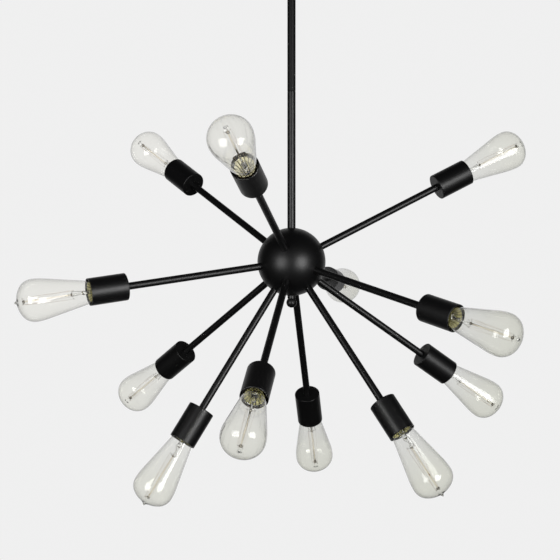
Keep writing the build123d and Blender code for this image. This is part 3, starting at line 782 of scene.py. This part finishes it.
def mount_outline(wall):
    """Outline of the glass mount inside the bulb, from its flare up to the end of the support rod."""
    points = [(NECK_FOOT_R - wall, GLASS_FOOT + wall)]
    points += flow(points[-1], (-1, 0.1), (TUBE_R, GLASS_FOOT + FLARE_HEIGHT), (0, 1), 6)
    points.append((TUBE_R, TUBE_TOP))
    points += flow(points[-1], (0, 1), (PRESS_R, TUBE_TOP + PRESS_HEIGHT * 0.45), (0, 1), 4)
    press_neck = math.acos(PRESS_R / BEAD_R)
    points.append((PRESS_R, PRESS_TOP - BEAD_R * math.sin(press_neck)))
    points += arc((0, PRESS_TOP), BEAD_R, -press_neck, math.acos(ROD_R / BEAD_R), 7)
    rod_neck = math.acos(ROD_R / BUTTON_R)
    points.append((ROD_R, UPPER_BUTTON - BUTTON_R * math.sin(rod_neck)))
    points += arc((0, UPPER_BUTTON), BUTTON_R, -rod_neck, rod_neck, 6)
    points.append((ROD_R, LOWER_BUTTON - BUTTON_R * math.sin(rod_neck)))
    points += arc((0, LOWER_BUTTON), BUTTON_R, -rod_neck, math.pi / 2, 7)
    points[-1] = (0, LOWER_BUTTON + BUTTON_R)
    return points


def throat_outline(wall):
    """Outline of the open throat inside the mount's flare and tube, from the outside of the foot up."""
    points = [(NECK_FOOT_R, GLASS_FOOT), (NECK_FOOT_R - 2 * wall, GLASS_FOOT)]
    points += flow(points[-1], (-1, 0.4), (TUBE_BORE_R, GLASS_FOOT + FLARE_HEIGHT - wall), (0, 1), 5)
    points.append((TUBE_BORE_R, TUBE_TOP - 2 * TUBE_BORE_R))
    points += arc((0, TUBE_TOP - 2 * TUBE_BORE_R), TUBE_BORE_R, 0, math.pi / 2, 5)
    points[-1] = (0, TUBE_TOP - TUBE_BORE_R)
    return points


def in_neck(point):
    """Whether a point of the sealed space lies on the neck below the cement's edge, or on the flare."""
    return point.z < CEMENT_EDGE and math.hypot(point.x, point.y) > TUBE_R * 1.1


def make_glass_shape():
    """One closed body of glass: the envelope's outside with its throat, and the sealed space inside."""
    bulb = bpy.context.scene.light_bulb
    shape = Shape()
    shape.paint = CLEAR
    outside = envelope_outline(0, GLASS_FOOT, BULB_TIP)
    shape.turn(list(reversed(throat_outline(bulb.wall))) + outside[1:], bulb.segments)
    start = len(shape.points)
    first_inside = len(shape.faces)
    inside = envelope_outline(bulb.wall, GLASS_FOOT + bulb.wall, BULB_TIP - PIP_WALL)
    mount = mount_outline(bulb.wall)
    shape.turn(list(reversed(inside)) + mount[1:], bulb.segments)
    for index, corners in enumerate(shape.faces):
        corner = shape.points[corners[0]]
        if ROD_GLASS_FOOT < corner.z < ROD_GLASS_TOP and math.hypot(corner.x, corner.y) < BEAD_R:
            shape.paints[index] = ROD
    shape.paint_streaks(first_inside, in_neck, PALE_CEMENT, DARK_STREAK_CEMENT)
    press_foot = GLASS_FOOT + FLARE_HEIGHT + TUBE_HEIGHT * 0.6
    for point in shape.points[start:]:
        inner = math.hypot(point.x, point.y) < TUBE_R * 1.02
        if inner and press_foot < point.z < PRESS_TOP:
            pinch = math.sin(math.pi * (point.z - press_foot) / (PRESS_TOP - press_foot)) ** 2
            point.x *= 1 + PRESS_WIDENING * pinch
            point.y *= 1 - PRESS_FLATTENING * pinch
    return shape


def hook_points(button, reach, angle, rise):
    """Path of an anchor: out of the button, along a spoke, and round a small eye at its end."""
    spoke = Vector((math.cos(angle), math.sin(angle), 0))
    up = Vector((0, 0, rise))
    centre = Vector((0, 0, button))
    spoke_end = centre + spoke * (reach - HOOK_EYE_R) + up
    path = [centre + spoke * ROD_R * 0.9, centre + spoke * reach * 0.5 + up * 0.4, spoke_end]
    around = Vector((0, 0, math.copysign(HOOK_EYE_R, rise)))
    middle = spoke_end + around
    for turn in (0.5, 1.0, 1.5, 2.1, 2.7):
        path.append(middle + spoke * HOOK_EYE_R * math.sin(turn * 2) - around * math.cos(turn * 2))
    return path


def make_filament_shape():
    """Filament wound in a zigzag cage between the hooks, with its two ends on the leads."""
    shape = Shape()
    stops = []
    for i in range(2 * HOOKS - 1):
        angle = math.pi * (i + 0.5) / HOOKS
        upper = i % 2 == 0
        reach = UPPER_HOOK_REACH if upper else LOWER_HOOK_REACH
        height = UPPER_BUTTON - UPPER_LOOP_DROP if upper else LOWER_BUTTON + LOWER_LOOP_RISE
        stops.append(Vector((reach * math.cos(angle), reach * math.sin(angle), height)))
    path = []
    for start, stop in zip(stops, stops[1:]):
        for step in range(FILAMENT_STEPS):
            t = step / FILAMENT_STEPS
            point = start.lerp(stop, t)
            bow = 1 + FILAMENT_BOW * math.sin(math.pi * t)
            path.append(Vector((point.x * bow, point.y * bow, point.z)))
    path.append(stops[-1])
    shape.pull(path, FILAMENT_R, 5)
    return shape


def make_wire_shape():
    """Anchors round both buttons, the collars that bind them, and the two leads out of the press."""
    shape = Shape()
    for i in range(HOOKS):
        upper_angle = 2 * math.pi * (i + 0.25) / HOOKS
        lower_angle = 2 * math.pi * (i + 0.75) / HOOKS
        hook = hook_points(UPPER_BUTTON, UPPER_HOOK_REACH, upper_angle, -UPPER_HOOK_DROP)
        shape.pull(hook, HOOK_WIRE_R)
        if i < HOOKS - 1:
            hook = hook_points(LOWER_BUTTON, LOWER_HOOK_REACH, lower_angle, LOWER_HOOK_RISE)
            shape.pull(hook, HOOK_WIRE_R)
    for button, half in ((UPPER_BUTTON, UPPER_COLLAR_R), (LOWER_BUTTON, LOWER_COLLAR_R)):
        collar = [
            (BUTTON_R + COLLAR_GAP + half * math.cos(a) * 0.4, button + half * math.sin(a))
            for a in ring_angles(12)
        ]
        shape.turn_closed(collar, 24)
    for side in (-1, 1):
        angle = math.pi * 0.5 / HOOKS if side > 0 else math.pi * (2 * HOOKS - 1.5) / HOOKS
        end = Vector((
            UPPER_HOOK_REACH * math.cos(angle), UPPER_HOOK_REACH * math.sin(angle),
            UPPER_BUTTON - LEAD_END_DROP,
        ))
        foot = Vector((side * PRESS_R, 0, PRESS_TOP - PRESS_HEIGHT * 0.6))
        knee = Vector((side * PRESS_R * 1.9, end.y * 0.3, PRESS_TOP + 0.002))
        path = [foot, foot.lerp(knee, 0.55) + Vector((0, 0, 0.001)), knee, knee.lerp(end, 0.5), end]
        shape.pull(path, LEAD_WIRE_R)
    return shape


def thread_wave(height, angle, foot, top):
    """Depth of a rolled thread from its crest, from 0 to 1, easing out at both of its ends."""
    ends = min(1, (height - foot) / THREAD_PITCH, (top - height) / THREAD_PITCH)
    wave = 0.5 - 0.5 * math.cos(2 * math.pi * height / THREAD_PITCH - angle)
    return max(0, ends) * wave


def thread_rows(foot, top, crest, depth, segments, steps):
    """Rows round a threaded wall, from its foot to its top."""
    rows = []
    for step in range(steps + 1):
        height = foot + (top - foot) * step / steps
        row = []
        for angle in ring_angles(segments):
            radius = crest - depth * thread_wave(height, angle, foot, top)
            row.append(Vector((radius * math.cos(angle), radius * math.sin(angle), height)))
        rows.append(row)
    return rows


def make_cap_shape():
    """Brass cap with its thread rolled inside and out, its insulator, solder contact and cement."""
    segments = bpy.context.scene.light_bulb.segments
    shape = Shape()
    contact_top = CONTACT_TIP + CONTACT_HEIGHT
    heel_top = contact_top + HEEL_HEIGHT
    foot = heel_top + TAPER_HEIGHT
    thread_top = CAP_TOP - COLLAR_HEIGHT
    inside_r = CAP_R - CAP_WALL
    heel_inside_r = HEEL_R - CAP_WALL
    outside = thread_rows(foot, thread_top, CAP_R, THREAD_DEPTH, segments, CAP_THREAD_ROWS)
    inside = thread_rows(foot, thread_top, inside_r, THREAD_DEPTH, segments, CAP_THREAD_ROWS)
    collar_foot = thread_top + COLLAR_LEAD_IN
    collar_r = CAP_R - COLLAR_RELIEF
    rows = [ring(heel_inside_r, heel_top, segments), ring(HEEL_R, heel_top, segments)] + outside
    rows += [ring(radius, height, segments) for radius, height in (
        (collar_r, collar_foot), (collar_r, CAP_TOP - RIM_FOOT_HEIGHT), (CAP_R, CAP_TOP - RIM_HEIGHT),
        (CAP_R, CAP_TOP), (inside_r, CAP_TOP), (inside_r, collar_foot),
    )]
    rows += list(reversed(inside)) + [ring(heel_inside_r, heel_top, segments)]
    shape.paint = BRASS
    shape.add_grid(rows)
    shape.paint = VITRITE
    dish_r = CONTACT_R - VITRITE_EDGE_R
    dish_top = heel_top + TAPER_HEIGHT * VITRITE_SHARE
    dish = [(0, contact_top), (dish_r, contact_top)]
    dish += arc((dish_r, contact_top + VITRITE_EDGE_R), VITRITE_EDGE_R, -math.pi / 2, -0.6, 3)
    dish += flow(dish[-1], (0.6, 0.4), (heel_inside_r, heel_top - VITRITE_EDGE_R), (0.3, 1), 6)
    dish += [(heel_inside_r, dish_top), (0, dish_top)]
    shape.turn(dish, segments)
    shape.paint = SOLDER
    button_r = CONTACT_R - SOLDER_INSET
    button = [(0, CONTACT_TIP)]
    button += flow(button[0], (1, 0.02), (button_r, contact_top), (0.1, 1), 6)
    button += [(button_r, contact_top + SOLDER_SINK), (0, contact_top + SOLDER_SINK)]
    shape.turn(button, segments)
    weld = Vector((CAP_R - WELD_INSET, 0, CAP_TOP - WELD_DROP))
    bead = [
        Vector((WELD_R * math.sin(a), 0, -WELD_HALF_HEIGHT * math.cos(a))) for a in (0.5, 1.2, 1.9, 2.6)
    ]
    shape.pull([weld + step for step in bead], WELD_R, 8)
    shape.paint = CEMENT
    within, beyond = NECK_FOOT_R + CEMENT_GAP, CAP_R - CAP_WALL - CEMENT_GAP
    cement = [
        (within, CAP_TOP - CEMENT_DEPTH), (beyond, CAP_TOP - CEMENT_DEPTH),
        (beyond, CAP_TOP - 0.0004), (within, CAP_TOP + 0.0003),
    ]
    shape.turn_closed(cement, segments)
    return shape


def make_shell_shape():
    """The socket's brass screw shell with its thread and folded foot, and the contact's sprung tongue."""
    segments = bpy.context.scene.light_bulb.segments
    shape = Shape()
    depth = SHELL_OUTER_R - SHELL_CREST_R - SHELL_WALL
    foot = SOCKET_FLOOR + SHELL_FOOT_RISE
    inside_r = SHELL_OUTER_R - SHELL_WALL
    outside = thread_rows(foot, SOCKET_RIM, SHELL_OUTER_R, depth, segments, SHELL_THREAD_ROWS)
    inside = thread_rows(foot, SOCKET_RIM, inside_r, depth, segments, SHELL_THREAD_ROWS)
    hole = ring(SHELL_HOLE_R, SOCKET_FLOOR, segments)
    rows = [hole, ring(SHELL_OUTER_R - SHELL_FOOT_INSET, SOCKET_FLOOR, segments)]
    rows += outside + list(reversed(inside))
    rows += [ring(SHELL_HOLE_R, SOCKET_FLOOR + SHELL_WALL, segments), hole]
    shape.add_grid(rows)
    tongue = [(0, SOCKET_FLOOR), (CENTRE_TONGUE_R, SOCKET_FLOOR)]
    tongue.append((CENTRE_TONGUE_R, SOCKET_FLOOR + TONGUE_THICKNESS))
    tongue_neck = (TONGUE_NECK_R, SOCKET_FLOOR + TONGUE_NECK_HEIGHT)
    tongue += flow(tongue[-1], (-1, 0.3), tongue_neck, (0, 1), 5)
    tongue += flow(tongue[-1], (0.2, 1), (0, CONTACT_TIP - TONGUE_GAP), (-1, 0), 5)
    shape.turn(tongue, segments)
    return shape


# ---- Placing ----


def make_piece(name, mesh, place, body, slot, *nodes):
    """Puts a piece where it belongs, on the body that carries it, with the node that it stands for."""
    placed = mesh.copy()
    placed.name = name
    placed.transform(place)
    piece = bpy.data.objects.new(name, placed)
    bpy.context.scene.collection.objects.link(piece)
    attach(piece, body)
    if nodes:
        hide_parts(*nodes)
    return piece


def lamp_places():
    """Each lamp's number, bulb body and place, each turned about its axis by one more golden turn."""
    if not LAMPS:
        raise RuntimeError("the packed model has no bulbs")
    for number, (body, axis) in enumerate(LAMPS):
        turn = axis.to_track_quat("Z", "Y").to_matrix().to_4x4()
        screwed_in = Matrix.Rotation(number * GOLDEN_TURN, 4, "Z")
        yield number, body, Matrix.Translation(HUB_CENTRE) @ turn @ screwed_in


def bulb_node(body, part):
    """Name of a bulb's CAD node, such as upper_bulb_glass_1 for the body upper_bulb_1."""
    ring_name, _, number = body.split("_")
    return f"{ring_name}_bulb_{part}_{number}"


def paint_node(node, material):
    slots = frame["nodes"][node].data.materials
    slots.clear()
    slots.append(material)


# ---- Operators, one for each piece or group of like pieces ----


class LIGHT_OT_finish_metalwork(bpy.types.Operator):
    """Gives the metalwork, the lamp holders and the fasteners their finishes"""

    bl_idname = "starburst.finish_metalwork"
    bl_label = "Finish metalwork"

    def execute(self, context):
        slots = {row["node"]: row["material_slot"] for row in frame["record"]["subparts"]}
        finishes = {
            "black_coat": make_material("black_coat", draw_coat),
            "zinc_steel": make_material("zinc_steel", draw_zinc),
            "phenolic": make_material("phenolic", draw_phenolic),
        }
        for node, slot in slots.items():
            if slot in finishes:
                paint_node(node, finishes[slot])
        paint_node("stem_rod_upper", make_material("dull_coat", draw_dull_coat))
        return {"FINISHED"}


class LIGHT_OT_blow_bulbs(bpy.types.Operator):
    """Makes the twelve blown glass bulbs with their drawn-off tips and glass mounts"""

    bl_idname = "starburst.blow_bulbs"
    bl_label = "Blow bulbs"

    def execute(self, context):
        finishes = [
            make_material("clear_glass", draw_glass),
            make_material("rod_glass", draw_rod_glass),
            make_material("neck_cement", draw_cement),
            make_material("dark_streak_cement", draw_dark_streak_cement),
        ]
        mesh = make_glass_shape().mesh("bulb_glass", finishes, math.radians(50))
        for _, body, place in lamp_places():
            make_piece(f"{body}_glass", mesh, place, body, "clear_glass", bulb_node(body, "glass"))
        return {"FINISHED"}


class LIGHT_OT_wind_filaments(bpy.types.Operator):
    """Winds a caged filament in every bulb, on wire anchors and leads"""

    bl_idname = "starburst.wind_filaments"
    bl_label = "Wind filaments"

    def execute(self, context):
        wire_mesh = make_wire_shape().mesh("anchors", [make_material("nickel_wire", draw_wire)])
        filament = make_material("filament", draw_filament)
        filament_mesh = make_filament_shape().mesh("filament", [filament])
        for _, body, place in lamp_places():
            make_piece(f"{body}_anchors", wire_mesh, place, body, "brass")
            make_piece(f"{body}_filament", filament_mesh, place, body, "brass")
        return {"FINISHED"}


class LIGHT_OT_roll_caps(bpy.types.Operator):
    """Makes the twelve brass screw caps with their rolled threads, insulators and contacts"""

    bl_idname = "starburst.roll_caps"
    bl_label = "Roll caps"

    def execute(self, context):
        finishes = [
            make_material("cap_brass", draw_brass),
            make_material("vitrite", draw_vitrite),
            make_material("solder", draw_solder),
            make_material("cement", draw_cement),
        ]
        mesh = make_cap_shape().mesh("bulb_cap", finishes)
        for _, body, place in lamp_places():
            make_piece(f"{body}_cap", mesh, place, body, "brass", bulb_node(body, "base"))
        return {"FINISHED"}


class LIGHT_OT_roll_shells(bpy.types.Operator):
    """Makes the screw shells and centre contacts inside the twelve lamp holders"""

    bl_idname = "starburst.roll_shells"
    bl_label = "Roll screw shells"

    def execute(self, context):
        mesh = make_shell_shape().mesh("screw_shell", [make_material("shell_brass", draw_brass)])
        for number, _, place in lamp_places():
            make_piece(f"screw_shell_{number + 1}", mesh, place, "fixture", "brass", "screw_shells")
        return {"FINISHED"}


class LIGHT_OT_set_stage(bpy.types.Operator):
    """Sets the pale floor and backdrop, the studio lamps and the camera"""

    bl_idname = "starburst.set_stage"
    bl_label = "Set stage"

    def execute(self, context):
        scene = context.scene
        scene.view_settings.view_transform = "Standard"
        make_backdrop(scene)
        make_floor(scene)
        make_softbox("softbox_left", LEFT_BEARING, scene.light_stage.left_power)
        make_softbox("softbox_right", RIGHT_BEARING, scene.light_stage.right_power)
        make_camera(scene)
        return {"FINISHED"}


# ---- Stage ----

STUDIO_FRONT = 0.015
STUDIO_BACK = 0.80
SOFTBOX_DISTANCE = 2.0
SOFTBOX_SIZE = (1.0, 1.05)
SOFTBOX_RISE = -0.02
LEFT_BEARING = math.radians(-34)
RIGHT_BEARING = math.radians(34.5)
WINDOW_BLUR = 0.01
BOUNCE_LOSS = 0.3

CAMERA_DISTANCE = 2.215
CAMERA_ABOVE_HUB = 0.0502
CAMERA_DIP = math.radians(2.03)
CAMERA_LENS = 91.6
CAMERA_SENSOR = 36
CAMERA_SHIFT = -0.0205


def make_backdrop(scene):
    """World with the pale backdrop, even light on matt surfaces, and gloss darker in front than behind.

    The lamps are hidden from rays through glass, so rays that leave it after a reflection see the
    softboxes here.
    """
    world = bpy.data.worlds.new("studio")
    world.use_nodes = True
    scene.world = world
    graph = Graph(world.node_tree)
    stage = scene.light_stage
    seen = graph.add("ShaderNodeLightPath", output="Is Camera Ray")
    glossy = seen.sibling("Is Glossy Ray")
    through = seen.sibling("Is Transmission Ray")
    bounced = graph.clamp(seen.sibling("Glossy Depth"))
    depth = graph.axis_part(graph.add("ShaderNodeTexCoord", output="Generated"), "Y")
    bearing = depth.math("ARCTAN2", depth.sibling("X"), 0 - depth)
    width, height = SOFTBOX_SIZE
    half_width = width / SOFTBOX_DISTANCE / 2
    half_height = height / SOFTBOX_DISTANCE / 2
    windows = 0
    for middle, power in ((LEFT_BEARING, stage.left_power), (RIGHT_BEARING, stage.right_power)):
        across = bearing.between(middle - half_width, middle + half_width, WINDOW_BLUR)
        upward = depth.sibling("Z").between(
            SOFTBOX_RISE - half_height, SOFTBOX_RISE + half_height, WINDOW_BLUR
        )
        windows = windows + across * upward * (power / math.pi / width / height)
    studio = STUDIO_FRONT + (STUDIO_BACK - STUDIO_FRONT) * depth.above(0.8, 0.4)
    plain = graph.clamp(seen + through * (1 - BOUNCE_LOSS * bounced))
    matt = glossy * studio + (1 - glossy) * stage.fill
    level = plain * stage.background + (1 - plain) * matt + through * bounced * windows
    shown = graph.add("ShaderNodeBackground", None, {"Color": (1, 1, 1, 1), "Strength": level})
    graph.add("ShaderNodeOutputWorld", None, {"Surface": shown})


def make_floor(scene):
    """Round floor, wide enough that its edge has faded into the backdrop."""
    shape = Shape()
    shape.turn([(radius, 0) for radius in FLOOR_RADII], FLOOR_SEGMENTS)
    shape.add_face(*reversed(range(FLOOR_SEGMENTS)))
    floor = bpy.data.objects.new("floor", shape.mesh("floor", [make_material("floor", draw_floor)]))
    scene.collection.objects.link(floor)
    floor.location = (0, 0, CAD_BOX[0].z - scene.light_stage.floor_drop)
    floor.visible_glossy = False


def make_softbox(name, bearing, power):
    """Rectangular lamp level with the hub, hidden from the camera and from rays through glass."""
    light = bpy.data.lights.new(name, "AREA")
    light.shape = "RECTANGLE"
    light.size, light.size_y = SOFTBOX_SIZE
    light.energy = power
    lamp = bpy.data.objects.new(name, light)
    bpy.context.scene.collection.objects.link(lamp)
    offset = Vector((math.sin(bearing), -math.cos(bearing), SOFTBOX_RISE)) * SOFTBOX_DISTANCE
    lamp.location = HUB_CENTRE + offset
    lamp.rotation_euler = (-offset).to_track_quat("-Z", "Y").to_euler()
    lamp.visible_camera = False
    lamp.visible_transmission = False


def make_camera(scene):
    """Camera at the viewing angle of the picture, level with the hub and looking along +Y."""
    data = bpy.data.cameras.new("camera")
    data.lens = CAMERA_LENS
    data.sensor_width = CAMERA_SENSOR
    data.shift_x = CAMERA_SHIFT
    camera = bpy.data.objects.new("camera", data)
    scene.collection.objects.link(camera)
    camera.location = HUB_CENTRE + Vector((0, -CAMERA_DISTANCE, CAMERA_ABOVE_HUB))
    camera.rotation_euler = (math.pi / 2 - CAMERA_DIP, 0, 0)
    scene.camera = camera


# ---- Panel and registration ----


class LIGHT_PT_starburst(bpy.types.Panel):
    """Lists the light's settings and the steps that make it"""

    bl_idname = "LIGHT_PT_starburst"
    bl_label = "Starburst ceiling light"
    bl_space_type = "VIEW_3D"
    bl_region_type = "UI"
    bl_category = "Starburst"

    def draw(self, context):
        scene = context.scene
        for settings in (scene.light_bulb, scene.light_finish, scene.light_stage):
            box = self.layout.box()
            for name in settings.__annotations__:
                box.prop(settings, name)
        for step in STEPS:
            self.layout.operator(step.bl_idname)


STEPS = (
    LIGHT_OT_finish_metalwork,
    LIGHT_OT_blow_bulbs,
    LIGHT_OT_wind_filaments,
    LIGHT_OT_roll_caps,
    LIGHT_OT_roll_shells,
    LIGHT_OT_set_stage,
)
CLASSES = (BulbSettings, FinishSettings, StageSettings, *STEPS, LIGHT_PT_starburst)


def register():
    for cls in CLASSES:
        bpy.utils.register_class(cls)
    bpy.types.Scene.light_bulb = PointerProperty(type=BulbSettings)
    bpy.types.Scene.light_finish = PointerProperty(type=FinishSettings)
    bpy.types.Scene.light_stage = PointerProperty(type=StageSettings)


def unregister():
    del bpy.types.Scene.light_stage
    del bpy.types.Scene.light_finish
    del bpy.types.Scene.light_bulb
    for cls in reversed(CLASSES):
        bpy.utils.unregister_class(cls)


def main():
    register()
    bpy.ops.starburst.finish_metalwork()
    bpy.ops.starburst.blow_bulbs()
    bpy.ops.starburst.wind_filaments()
    bpy.ops.starburst.roll_caps()
    bpy.ops.starburst.roll_shells()
    bpy.ops.starburst.set_stage()


if __name__ == "__main__":
    main()
